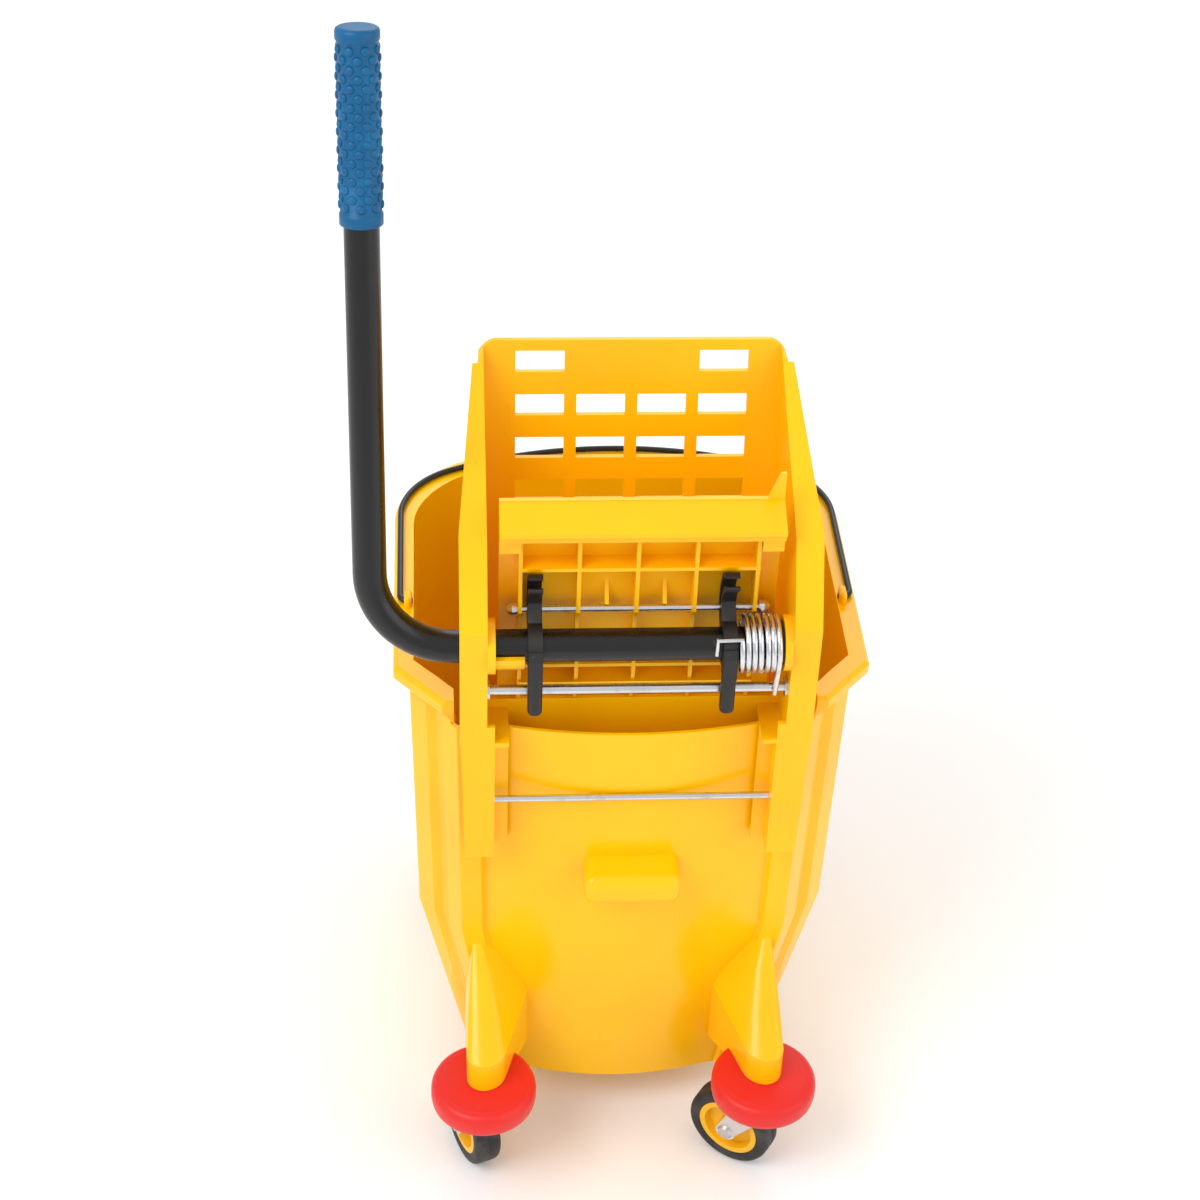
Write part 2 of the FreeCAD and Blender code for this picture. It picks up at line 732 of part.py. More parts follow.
# each washer sits against its cheek, each nut against the outside of its tab
for side, washerX, nutX in (
        ("left", -D.cheekInner, -D.tabInner - D.cheekSheet - D.washerSheet),
        ("right", D.cheekInner - D.washerSheet, D.tabInner + D.cheekSheet)):
    makeWasher("stop_washer_" + side, D.stopRadius, 8, D.washerSheet, washerX, D.stopY, D.stopZ)
    makeWasher("stay_nut_" + side, D.stayRadius, 5.2, D.washerSheet, nutX, D.stayY, D.stayZ)


# ---------------------------------------------------------------- lever
def leverBody(label):
    """A body at the shaft whose own Z axis runs up the leaning lever."""
    body = newBody(label, 0, 0, D.shaftZ)
    return turned(body, (1, 0, 0), -D.leverLean.value)


def makeLever():
    tube = leverBody("lever_tube")
    bend = D.leverBend
    path = outline(newSketch(tube, "XZ_Plane"), [
        (D.shaftEnd, 0), (D.leverX + bend, 0, -bend), (D.leverX, bend), (D.leverX, D.leverLength - 6)],
        closed=False)
    section = newSketch(tube, "YZ_Plane", D.shaftEnd)
    circle(section, 0, 0, D.tubeRadius)
    circle(section, 0, 0, D.tubeRadius - D.tubeSheet)
    pipe = tube.newObject("PartDesign::AdditivePipe", "LeverPipe")
    pipe.Profile = section
    pipe.Spine = path
    makeGrip()


def makeGrip():
    """Moulded grip pushed over the tube's end, with a collar at each end."""
    grip = leverBody("lever_grip")
    radius, bore = D.gripRadius, D.tubeRadius
    low = D.leverLength - D.gripLength
    top = D.leverLength
    axis = D.leverX
    profile = outline(newSketch(grip, "XZ_Plane"), [
        (axis, top - 6), (axis + bore, top - 6), (axis + bore, low), (axis + radius - 1, low),
        (axis + radius, low + 2), (axis + radius, low + 9), (axis + radius - 0.7, low + 10),
        (axis + radius - 0.7, top - 12), (axis + radius, top - 11), (axis + radius, top - 3, 3),
        (axis + radius - 3, top), (axis, top)])
    profile.addGeometry(Part.LineSegment(FreeCAD.Vector(axis.value, 0, 0),
                                         FreeCAD.Vector(axis.value, top.value, 0)), True)
    turning = grip.newObject("PartDesign::Revolution", "GripRevolution")
    turning.Profile = profile
    turning.ReferenceAxis = (profile, ["Axis0"])
    turning.Angle = 360


makeLever()


# ---------------------------------------------------------------- crank arms
def forward(point, degrees):
    """Turn a (y, z) pair about the origin so that its top goes to the front."""
    turn = math.radians(degrees)
    y, z = point
    return (y * math.cos(turn) + z * math.sin(turn), -y * math.sin(turn) + z * math.cos(turn))


def pinPath(start, stop, steps=14):
    """Where the plate's pin lies as seen by the arm, while the lever turns."""
    ratio = D.plateStroke.value / D.leverStroke.value
    hinge = (D.hingeY.value, D.hingeZ.value - D.shaftZ.value)
    pin = (D.pinY.value - hinge[0], D.pinZ.value - D.shaftZ.value - hinge[1])
    points = []
    for step in range(steps + 1):
        lever = start + (stop - start) * step / steps
        swung = forward(pin, lever * ratio)
        points.append(forward((swung[0] + hinge[0], swung[1] + hinge[1]), -lever))
    return points


def ribbon(points, radius, thick):
    """A plate that follows a line of (y, z) points, with rounded ends."""
    wire = Part.makePolygon([FreeCAD.Vector(0, y, z) for y, z in points])
    rim = wire.makeOffset2D(radius, 0, False, False)
    return Part.Face(rim).extrude(FreeCAD.Vector(thick, 0, 0))


def makeArm(label, x):
    """Arm clamped on the shaft: a finger for the stop rod and an open fork for the pin."""
    thick = D.armWide.value
    shaft = FreeCAD.Vector(0, 0, 0)
    along = FreeCAD.Vector(1, 0, 0)
    bore = D.tubeRadius.value
    slotRadius = D.pinRadius.value + 0.4
    stroke = D.leverStroke.value
    hub = Part.makeCylinder(bore + D.hubWall.value, thick, shaft, along)
    fork = ribbon(pinPath(0, stroke), slotRadius + 4.2, thick)
    neck = ribbon([(0, 0)] + pinPath(0, stroke)[0:2], 9.5, thick)
    stopRear = D.stopY.value - D.stopRadius.value - 0.4
    finger = Part.makePolygon([FreeCAD.Vector(0, y, z) for y, z in (
        (stopRear, 0), (stopRear, -49), (stopRear - 1.2, -52.4), (stopRear - 3.4, -54.4),
        (stopRear - 6, -54.6), (stopRear - 8.4, -52.6), (stopRear - 9.6, -49), (stopRear - 11, -40),
        (stopRear - 12.5, 0), (stopRear - 9, 7), (stopRear, 0))])
    finger = Part.Face(finger).extrude(FreeCAD.Vector(thick, 0, 0))
    solid = hub.multiFuse([fork, neck, finger])
    slot = ribbon(pinPath(-3, stroke + 30), slotRadius, thick + 2)
    slot.translate(FreeCAD.Vector(-1, 0, 0))
    hole = Part.makeCylinder(bore, thick + 2, FreeCAD.Vector(-1, 0, 0), along)
    arm = doc.addObject("Part::Feature", label.replace("_", ""))
    arm.Shape = solid.cut(slot.fuse(hole)).removeSplitter()
    place(arm, x - D.armWide / 2, 0, D.shaftZ)
    return named(arm, label)


makeArm("crank_arm_left", D.armLeftX)
makeArm("crank_arm_right", D.armRightX)


# ---------------------------------------------------------------- return spring
def makeSpring(label, x, turns, flip, legAtStart, leg):
    """Half of the return spring: close coils about the shaft and one straight leg."""
    wire, coil = D.springWire.value, D.springCoil.value
    middle = FreeCAD.Vector(0, 0, 0)
    pitch = wire * 2 + 0.15
    helix = Part.makeHelix(pitch, pitch * turns, coil)
    helix.rotate(middle, FreeCAD.Vector(0, 1, 0), 90)
    helix.rotate(middle, FreeCAD.Vector(1, 0, 0), flip)
    first, final = helix.Edges[0], helix.Edges[-1]
    begin = first.valueAt(first.FirstParameter)
    ring = Part.Wire(Part.makeCircle(wire, begin, first.tangentAt(first.FirstParameter)))
    solid = Part.Wire(helix.Edges).makePipeShell([ring], True, True)
    here = begin if legAtStart else final.valueAt(final.LastParameter)
    for step in leg:
        there = here + FreeCAD.Vector(*step)
        solid = solid.fuse(Part.makeSphere(wire * 1.002, here))
        solid = solid.fuse(Part.makeCylinder(wire, (there - here).Length, here, there - here))
        here = there
    solid = solid.fuse(Part.makeSphere(wire * 1.002, here))
    spring = doc.addObject("Part::Feature", label.replace("_", ""))
    spring.Shape = solid.removeSplitter()
    place(spring, x, 0, D.shaftZ)
    return named(spring, label)


springX = D.armRightX + D.armWide / 2 + 2.5
makeSpring("return_spring_lever_half", springX, 2.5, 225, True, [(-18, 0, 0), (0, 0, -14)])
makeSpring("return_spring_frame_half", springX + 16.9, 2.25, 180, False, [(0, 9.7, -41)])


# ---------------------------------------------------------------- press plate
def makePlate():
    """Ribbed plate that swings on the hinge rod and squeezes against the front wall."""
    body = newBody("press_plate")
    half, sheetThick = D.plateHalf, D.plateSheet
    top = D.plateTopZ
    skinTopY = D.pinY + 8
    face = outline(newSketch(body, "YZ_Plane", -half), [
        (D.hingeY - 3, D.hingeZ + 4), (D.hingeY + 3, D.hingeZ + 4), (skinTopY + sheetThick, top),
        (skinTopY, top)])
    feature(body, "Pad", face, half * 2)
    knuckle = circle(newSketch(body, "YZ_Plane", -half + 6), D.hingeY, D.hingeZ, D.stayRadius + 3.2)
    feature(body, "Pad", knuckle, half * 2 - 12)
    ribRear = D.pinY - 7
    for x in (-90, -46, -2, 42, 88):
        rib = outline(newSketch(body, "YZ_Plane", x - 1.5), [
            (ribRear + 10, D.shaftZ - 73), (D.hingeY - 2, D.shaftZ - 73), (skinTopY + 1, top - 8),
            (ribRear, top - 8), (ribRear, D.shaftZ - 40)])
        feature(body, "Pad", rib, 3)
    for z in (D.shaftZ + 58, D.shaftZ - 34, D.shaftZ - 52):
        shelf = outline(newSketch(body, "XY_Plane", z), [
            (-90, ribRear), (90, ribRear), (90, D.hingeY - 6), (-90, D.hingeY - 6)])
        feature(body, "Pad", shelf, 3)
    # the lip slopes down to a thin edge with a step under it, and a block closes it at each side
    lip = outline(newSketch(body, "YZ_Plane", -half), [
        (ribRear - 12, top - 11), (ribRear - 12, top - 15), (ribRear - 8, top - 15),
        (ribRear - 8, top - 22), (skinTopY, top - 22), (skinTopY + 2, top)])
    feature(body, "Pad", lip, half * 2)
    for start in (-half, half - 16):
        block = outline(newSketch(body, "YZ_Plane", start), [
            (ribRear - 2, top - 36), (skinTopY + 1, top - 36), (skinTopY + 1, top - 21),
            (ribRear - 2, top - 21)])
        feature(body, "Pad", block, 16)
    for x in (-24, 20):
        gusset = outline(newSketch(body, "YZ_Plane", x - 1.5), [
            (ribRear + 6, D.pinZ + 4), (ribRear + 20, D.pinZ + 4), (ribRear + 20, D.pinZ + 24)])
        feature(body, "Pad", gusset, 3)
    horn = outline(newSketch(body, "XZ_Plane", -skinTopY - sheetThick), [
        (half - 14, top - 4), (half, top - 4), (half, top + 22), (half - 4, top + 22)])
    feature(body, "Pad", horn, sheetThick - 1)
    room = circle(newSketch(body, "YZ_Plane", -half - 1), 0, D.shaftZ, 24)
    feature(body, "Pocket", room, half * 2 + 2, back=True)
    for z, y, radius in ((D.pinZ, D.pinY, D.pinRadius), (D.hingeZ, D.hingeY, D.stayRadius + D.fit)):
        eyes = circle(newSketch(body, "YZ_Plane", -half - 1), y, z, radius)
        feature(body, "Pocket", eyes, half * 2 + 2, back=True)
    return body


makePlate()
rod("plate_pin_rod", D.pinRadius, D.pinHalf * 2, -D.pinHalf, D.pinY, D.pinZ)
# a domed nut whose socket holds the last 4 mm of the rod
leftDome = [(0, 0), (4, 0), (4, D.pinRadius), (8, D.pinRadius), (8, 5), (4, 5.5), (0, 3)]
rightDome = [(4, 0), (8, 0), (8, 3), (4, 5.5), (0, 5), (0, D.pinRadius), (4, D.pinRadius)]
for side, x, dome in (("left", -D.pinHalf - 4, leftDome), ("right", D.pinHalf - 4, rightDome)):
    nut = newBody("pin_nut_" + side, x, D.pinY, D.pinZ)
    profile = newSketch(nut, "XY_Plane")
    outline(profile, dome)
    revolve(nut, "Revolution", profile, "H_Axis")


# ---------------------------------------------------------------- checks and files
doc.recompute()
broken = [thing.Label for thing in doc.Objects if "Invalid" in thing.State or "Error" in thing.State]
if broken:
    print("not built:", ", ".join(broken))
for piece in pieces:
    if piece.Shape.isNull() or not piece.Shape.isValid() or len(piece.Shape.Solids) != 1:
        broken.append(piece.Label)
        print("not sound:", piece.Label, len(piece.Shape.Solids) if not piece.Shape.isNull() else "null")
if broken:
    raise SystemExit(1)

os.makedirs("parts", exist_ok=True)
for piece in pieces:
    piece.Shape.exportStep("parts/%s.step" % piece.Label)
print(len(pieces), "parts written")
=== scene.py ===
import json
import math

import bmesh
import bpy
from mathutils import Matrix, Vector


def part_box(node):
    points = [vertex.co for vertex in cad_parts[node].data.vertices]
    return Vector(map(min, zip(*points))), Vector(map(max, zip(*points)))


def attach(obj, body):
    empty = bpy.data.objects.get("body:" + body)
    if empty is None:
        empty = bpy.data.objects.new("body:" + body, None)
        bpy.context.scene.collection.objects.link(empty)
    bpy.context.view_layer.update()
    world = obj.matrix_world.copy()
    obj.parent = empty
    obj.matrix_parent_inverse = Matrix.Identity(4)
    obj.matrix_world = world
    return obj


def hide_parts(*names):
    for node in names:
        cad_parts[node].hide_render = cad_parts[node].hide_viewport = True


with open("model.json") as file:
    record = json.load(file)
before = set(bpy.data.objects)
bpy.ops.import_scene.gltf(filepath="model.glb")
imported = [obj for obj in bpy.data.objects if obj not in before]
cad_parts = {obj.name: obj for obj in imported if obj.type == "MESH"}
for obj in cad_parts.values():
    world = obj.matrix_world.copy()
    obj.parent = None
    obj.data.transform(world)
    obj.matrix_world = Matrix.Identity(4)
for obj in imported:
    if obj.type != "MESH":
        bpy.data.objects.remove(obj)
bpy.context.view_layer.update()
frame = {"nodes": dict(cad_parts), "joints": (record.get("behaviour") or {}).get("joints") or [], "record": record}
nodes = frame["nodes"]

# the bucket's middle plane and the lever shaft's axis, which everything is measured from
bucketLow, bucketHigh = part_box("bucket_body")
bushLow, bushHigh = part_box("shaft_bush_left")
middle = Vector(((bucketLow.x + bucketHigh.x) / 2, (bushLow.y + bushHigh.y) / 2, 0))
cornerNames = ("rear_left", "rear_right", "front_left", "front_right")
print("frame loaded:", len(nodes), "nodes")


mm = 0.001
nearly = 0.00001  # points closer than this are one point


def at(x, y, z):
    # millimetres from the middle plane, the shaft's axis and the floor
    return middle + Vector((x, y, z)) * mm


def measured(point):
    # the reverse of at()
    return (point - middle) * 1000


class Signal:
    # a socket whose + - * add the Math nodes
    def __init__(self, look, socket):
        self.look = look
        self.socket = socket

    def maths(self, operation, *others):
        return self.look.maths(operation, self, *others)

    def __add__(self, other):
        return self.maths("ADD", other)

    def __radd__(self, other):
        return self.maths("ADD", other)

    def __sub__(self, other):
        return self.maths("SUBTRACT", other)

    def __rsub__(self, other):
        return self.look.maths("SUBTRACT", other, self)

    def __mul__(self, other):
        return self.maths("MULTIPLY", other)

    def __rmul__(self, other):
        return self.maths("MULTIPLY", other)


class Look:
    def __init__(self, name, **values):
        self.material = bpy.data.materials.new(name)
        self.material.use_nodes = True
        self.tree = self.material.node_tree
        self.tree.nodes.clear()
        self.shader = self.node("ShaderNodeBsdfPrincipled", {}, values)
        output = self.node("ShaderNodeOutputMaterial", {}, {})
        self.tree.links.new(self.shader.outputs[0], output.inputs[0])
        self.point = self.out("ShaderNodeTexCoord", {}, {}, "Object")

    def node(self, kind, settings, values):
        made = self.tree.nodes.new(kind)
        for key, value in settings.items():
            setattr(made, key, value)
        for key, value in values.items():
            self.feed(made, key, value)
        return made

    def feed(self, made, key, value):
        if isinstance(value, Signal):
            self.tree.links.new(value.socket, made.inputs[key])
        else:
            made.inputs[key].default_value = value

    def out(self, kind, settings, values, name=0):
        return Signal(self, self.node(kind, settings, values).outputs[name])

    def maths(self, operation, *values):
        return self.out("ShaderNodeMath", {"operation": operation}, dict(enumerate(values)))

    def noise(self, scale, detail=2.0, rough=0.5, stretch=None):
        where = self.point
        if stretch:
            where = self.out("ShaderNodeMapping", {}, {"Vector": where, "Scale": stretch})
        return self.out("ShaderNodeTexNoise", {}, {"Vector": where, "Scale": scale, "Detail": detail,
                                                   "Roughness": rough}, "Fac")

    def between(self, value, low, high, start=0.0, stop=1.0):
        # start below low, stop above high, smooth in between
        settings = {"interpolation_type": "SMOOTHSTEP"}
        return self.out("ShaderNodeMapRange", settings, {"Value": value, "From Min": low, "From Max": high,
                                                         "To Min": start, "To Max": stop})

    def mix(self, share, first, second):
        made = self.node("ShaderNodeMix", {"data_type": "RGBA"}, {0: share, 6: first, 7: second})
        return Signal(self, made.outputs[2])

    def height(self):
        # height above the floor, in metres
        return self.out("ShaderNodeSeparateXYZ", {}, {0: self.point}, "Z")

    def bump(self, height, distance):
        made = self.out("ShaderNodeBump", {}, {"Height": height, "Distance": distance})
        self.feed(self.shader, "Normal", made)

    def colour(self, value):
        self.feed(self.shader, "Base Color", value)

    def roughness(self, value):
        self.feed(self.shader, "Roughness", value)


def tone(red, green, blue):
    # screen colour, 0 to 255, as linear light
    channels = []
    for value in (red, green, blue):
        share = value / 255
        channels.append(share / 12.92 if share <= 0.04045 else ((share + 0.055) / 1.055) ** 2.4)
    return (*channels, 1.0)


def mouldedPlastic(name, main, deep, worn, roughness, peel, scuffs):
    look = Look(name, **{"IOR": 1.49, "Specular IOR Level": 0.36})
    flow = look.noise(6.0, 3.0, 0.55)  # slow drift of pigment in the moulding
    scratch = look.noise(55.0, 5.0, 0.7, (1.0, 1.0, 0.12))
    marks = look.between(scratch, 0.60, 0.74) * scuffs
    base = look.mix(look.between(flow, 0.35, 0.7), main, deep)
    low = look.between(look.height(), 0.05, 0.22, 1.0, 0.0) * 0.20  # the third colour comes in, in noisy patches, below about 0.22 m and fades out above it
    look.colour(look.mix(marks + low * look.between(look.noise(18.0, 4.0), 0.45, 0.7), base, worn))
    look.roughness(look.noise(120.0, 3.0) * 0.10 + marks * 0.35 + (roughness - 0.05))
    look.bump(look.noise(210.0, 2.0) * 0.7 + look.noise(900.0, 2.0) * 0.3, peel)
    return look.material


def platedSteel(name, main, dull, roughness, brushing):
    look = Look(name, **{"Metallic": 1.0})
    streaks = look.noise(140.0, 4.0, 0.6, brushing)
    bloom = look.between(look.noise(70.0, 4.0, 0.6), 0.45, 0.72)
    look.colour(look.mix(bloom * 0.5, main, dull))
    look.roughness(streaks * 0.18 + bloom * 0.14 + (roughness - 0.10))
    look.bump(streaks, 0.00004)
    return look.material


def blackCoat(name, main, worn, roughness, grain):
    look = Look(name, **{"Specular IOR Level": 0.5})
    scratch = look.between(look.noise(60.0, 5.0, 0.7, (0.3, 1.0, 1.0)), 0.63, 0.75)
    look.colour(look.mix(scratch * 0.5, main, worn))
    look.roughness(look.noise(90.0, 3.0) * 0.12 + scratch * 0.15 + (roughness - 0.06))
    look.bump(look.noise(700.0, 3.0, 0.6), grain)
    return look.material


def tyreRubber(name):
    look = Look(name, **{"Specular IOR Level": 0.35})
    dust = look.between(look.noise(45.0, 5.0, 0.65), 0.42, 0.72)
    look.colour(look.mix(dust * 0.6, tone(34, 35, 36), tone(92, 90, 86)))
    look.roughness(dust * 0.2 + 0.5)
    look.bump(look.noise(600.0, 4.0, 0.7), 0.00012)
    return look.material


def gripRubber(name):
    look = Look(name, **{"Specular IOR Level": 0.3})
    handling = look.between(look.noise(38.0, 4.0, 0.6), 0.45, 0.7)
    look.colour(look.mix(handling, tone(4, 88, 134), tone(10, 102, 150)))
    look.roughness(handling * 0.12 + 0.40)
    look.bump(look.noise(1100.0, 3.0, 0.6), 0.00007)
    return look.material


looks = {
    "bucket_yellow": mouldedPlastic("bucketYellow", tone(255, 196, 2), tone(254, 187, 1), tone(240, 188, 40),
                                    0.20, 0.00006, 0.35),
    "wringer_yellow": mouldedPlastic("wringerYellow", tone(255, 195, 2), tone(254, 187, 1),
                                     tone(234, 180, 40), 0.30, 0.00008, 0.45),
    "bumper_red": mouldedPlastic("bumperRed", tone(230, 42, 36), tone(222, 36, 32), tone(202, 70, 58),
                                 0.42, 0.00020, 0.6),
    "hub_yellow": mouldedPlastic("hubYellow", tone(246, 190, 26), tone(238, 178, 20), tone(190, 150, 60),
                                 0.30, 0.00006, 0.5),
    "bush_black": mouldedPlastic("bushBlack", tone(28, 28, 29), tone(34, 34, 34), tone(66, 64, 62),
                                 0.45, 0.00010, 0.5),
    "caster_zinc": platedSteel("casterZinc", tone(214, 216, 218), tone(170, 172, 174), 0.34,
                               (1.0, 1.0, 6.0)),
    "axle_steel": platedSteel("axleSteel", tone(198, 199, 201), tone(140, 141, 142), 0.32, (1.0, 1.0, 1.0)),
    "rod_steel": platedSteel("rodSteel", tone(216, 217, 220), tone(170, 170, 170), 0.24, (0.15, 3.0, 3.0)),
    "spring_steel": platedSteel("springSteel", tone(222, 223, 226), tone(176, 176, 178), 0.20,
                                (3.0, 1.0, 1.0)),
    "lever_black": blackCoat("leverBlack", tone(9, 9, 10), tone(30, 29, 28), 0.26, 0.00004),
    "arm_black": blackCoat("armBlack", tone(24, 22, 22), tone(50, 45, 42), 0.52, 0.00018),
    "bail_black": blackCoat("bailBlack", tone(12, 12, 13), tone(38, 36, 35), 0.36, 0.00005),
    "tyre_black": tyreRubber("tyreBlack"),
    "grip_blue": gripRubber("gripBlue"),
}

slotOf = {part["node"]: part["material_slot"] for part in frame["record"]["subparts"]}
for nodeName, node in nodes.items():
    node.data.materials.clear()
    node.data.materials.append(looks[slotOf[nodeName]])
print("materials ready:", len(looks))


def bodyOf(nodeName):
    for body, members in frame["record"]["behaviour"]["bodies"].items():
        if nodeName in members:
            return body


def roundEdges(piece, width, segments, angle):
    rounding = piece.modifiers.new("Rounding", "BEVEL")
    rounding.width = width
    rounding.segments = segments
    rounding.limit_method = "ANGLE"
    rounding.angle_limit = math.radians(angle)
    rounding.harden_normals = True


def addPiece(name, mesh, stands, angle, bevel=None, segments=2):
    # makes an object of a bmesh that stands for CAD nodes and rides on their body
    bmesh.ops.remove_doubles(mesh, verts=mesh.verts, dist=nearly)
    bmesh.ops.recalc_face_normals(mesh, faces=mesh.faces)
    data = bpy.data.meshes.new(name)
    mesh.to_mesh(data)
    mesh.free()
    data.polygons.foreach_set("use_smooth", [True] * len(data.polygons))
    data.set_sharp_from_angle(angle=math.radians(angle))
    piece = bpy.data.objects.new(name, data)
    bpy.context.scene.collection.objects.link(piece)
    slot = slotOf[stands[0]]
    data.materials.append(looks[slot])
    if bevel:
        roundEdges(piece, bevel, segments, angle)
    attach(piece, bodyOf(stands[0]))
    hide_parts(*stands)
    return piece


def copied(nodeName):
    # a node's loose triangles as one merged mesh with its flat faces made whole
    mesh = bmesh.new()
    mesh.from_mesh(nodes[nodeName].data)
    bmesh.ops.remove_doubles(mesh, verts=mesh.verts, dist=0.00002)
    bmesh.ops.dissolve_limit(mesh, angle_limit=math.radians(1.0), verts=mesh.verts, edges=mesh.edges)
    return mesh


# parts whose CAD shape is right get their edges broken, each by its own radius
edgeBreaks = {
    "wringer_housing": ("wringerFrame", 0.0009),
    "press_plate": ("pressPlate", 0.0007),
}
for corner in cornerNames:
    edgeBreaks["caster_fork_" + corner] = ("casterFork." + corner, 0.0006)
for nodeName, (pieceName, width) in edgeBreaks.items():
    addPiece(pieceName, copied(nodeName), [nodeName], angle=35, bevel=width)
print("edges broken on", len(edgeBreaks), "parts")


def newFace(mesh, points, z):
    return mesh.faces.new([mesh.verts.new(at(x, y, z)) for x, y in points])


def scaleAbout(mesh, verts, pivot, factors):
    bmesh.ops.scale(mesh, verts=verts, vec=Vector(factors), space=Matrix.Translation(-pivot))


def carriedOn(mesh, edges, move, pivot=None, factors=None):
    # extrudes an edge loop, moves it by millimetres and resizes it about a pivot
    made = bmesh.ops.extrude_edge_only(mesh, edges=edges)["geom"]
    verts = [item for item in made if isinstance(item, bmesh.types.BMVert)]
    bmesh.ops.translate(mesh, verts=verts, vec=Vector(move) * mm)
    if pivot is not None:
        scaleAbout(mesh, verts, pivot, factors)
    fresh = set(verts)
    edges = {item for item in made if isinstance(item, bmesh.types.BMEdge)}
    return [edge for edge in edges if edge.verts[0] in fresh and edge.verts[1] in fresh]


def roundPoints(mesh, verts, radius, steps):
    bmesh.ops.bevel(mesh, geom=verts, offset=radius * mm, segments=steps, profile=0.5,
                    affect="VERTICES", material=-1)


def lathed(mesh, points, centre, axis, steps):
    # turns a profile of (radius, along) in millimetres about an axis
    axis = Vector(axis).normalized()
    across = axis.orthogonal().normalized()
    verts = [mesh.verts.new(centre + (across * radius + axis * along) * mm) for radius, along in points]
    edges = [mesh.edges.new(pair) for pair in zip(verts, verts[1:])]
    bmesh.ops.spin(mesh, geom=verts + edges, cent=centre, axis=axis, angle=math.tau, steps=steps,
                   use_merge=True)


def cornerBox(mesh, low, high):
    # a box between two corners in millimetres
    low, high = at(*low), at(*high)
    made = bmesh.ops.create_cube(mesh, size=1.0)["verts"]
    bmesh.ops.scale(mesh, verts=made, vec=high - low)
    bmesh.ops.translate(mesh, verts=made, vec=(low + high) / 2)
    return made


def roundBox(mesh, verts, rounding, segments):
    edges = {edge for vert in verts for edge in vert.link_edges}
    bmesh.ops.bevel(mesh, geom=list(edges), offset=rounding, segments=segments, profile=0.5,
                    affect="EDGES", material=-1)


def taken(mesh, other):
    # puts a second bmesh into the first
    data = bpy.data.meshes.new("passing")
    other.to_mesh(data)
    other.free()
    mesh.from_mesh(data)
    bpy.data.meshes.remove(data)


bucket = {
    "half": 125, "frontY": 262, "pillarY": 10, "panelY": 42, "bowY": 15, "bowRise": 14.5,
    "bowShare": 0.70, "stepShare": 0.72, "pillarShare": 0.80, "bowCuts": 15, "frontCorner": 50,
    "frontSteps": 9, "crownRadius": 330, "bulgeFrom": 102,
    "fluteFrom": (0.28, 0.40, 0.56, 0.68), "fluteDepth": 5.0,
    "levels": ((53, 127.3, 264.3), (215, 166, 300), (438, 171, 318), (472, 171, 318)),
    "floorZ": 46, "fluteLevel": 215, "fluteEnd": 472, "topHalf": 171, "rimHalf": 184, "rimPivotY": 130,
    "rimSteps": ((472.01, 184, 335), (469, 187, 338), (461, 187, 338), (444, 175, 326)),
    "saddleZ": 438, "notchHalf": 140, "notchY": 60,
    "wall": 0.0035, "edge": 0.0013, "sharpAngle": 28,
}


def bendFront(verts):
    # the front side bulges along one wide arc
    for vert in verts:
        here = measured(vert.co)
        if here.y > bucket["bulgeFrom"]:
            vert.co.y -= here.x ** 2 / (2 * bucket["crownRadius"]) * mm


def bucketFloor(mesh):
    # the floor's outline: bowed rear side, a pillar and a panel at each rear corner, crowned front
    half, pillarY, panelY = bucket["half"], bucket["pillarY"], bucket["panelY"]
    right = [(half * bucket["bowShare"], bucket["bowY"]), (half * bucket["stepShare"], pillarY),
             (half * bucket["pillarShare"], pillarY)]
    start = Vector((half * bucket["pillarShare"], pillarY))
    stop = Vector((half, panelY))
    for share in bucket["fluteFrom"]:
        right.append(tuple(start.lerp(stop, share)))
    right += [(half, panelY), (half, bucket["frontY"])]
    left = [(-x, y) for x, y in reversed(right)]
    floor = newFace(mesh, right + left, bucket["floorZ"])
    layer = mesh.verts.layers.int.new("flute")
    fluteXs = [right[index][0] for index in (4, 5)]
    for vert in mesh.verts:
        across = measured(vert.co).x
        if any(abs(abs(across) - wanted) < 0.1 for wanted in fluteXs):
            vert[layer] = 1 if across > 0 else -1
    frontVerts = [vert for vert in floor.verts if measured(vert.co).y > bucket["frontY"] - 1]
    roundPoints(mesh, frontVerts, bucket["frontCorner"], bucket["frontSteps"])
    longEdges = [edge for edge in mesh.edges if abs(edge.verts[0].co.y - edge.verts[1].co.y) < 0.0001
                 and edge.calc_length() > 0.1]
    bmesh.ops.subdivide_edges(mesh, edges=longEdges, cuts=bucket["bowCuts"])
    bowEnd = half * bucket["bowShare"]
    for vert in mesh.verts:
        here = measured(vert.co)
        if abs(here.y - bucket["bowY"]) < 0.5 and abs(here.x) < bowEnd:
            vert.co.y -= bucket["bowRise"] * (1 - (here.x / bowEnd) ** 2) * mm
    bendFront(mesh.verts)


def moveFlutes(mesh, edges, depth):
    # the two middle lines of each corner panel go inwards by millimetres
    layer = mesh.verts.layers.int["flute"]
    panelDeep = (bucket["panelY"] - bucket["pillarY"]) / bucket["half"]
    across = Vector((1 - bucket["pillarShare"], panelDeep)).normalized()
    for vert in {vert for edge in edges for vert in edge.verts}:
        side = vert[layer]
        vert.co += Vector((-across.y * side, across.x * abs(side), 0)) * depth * mm


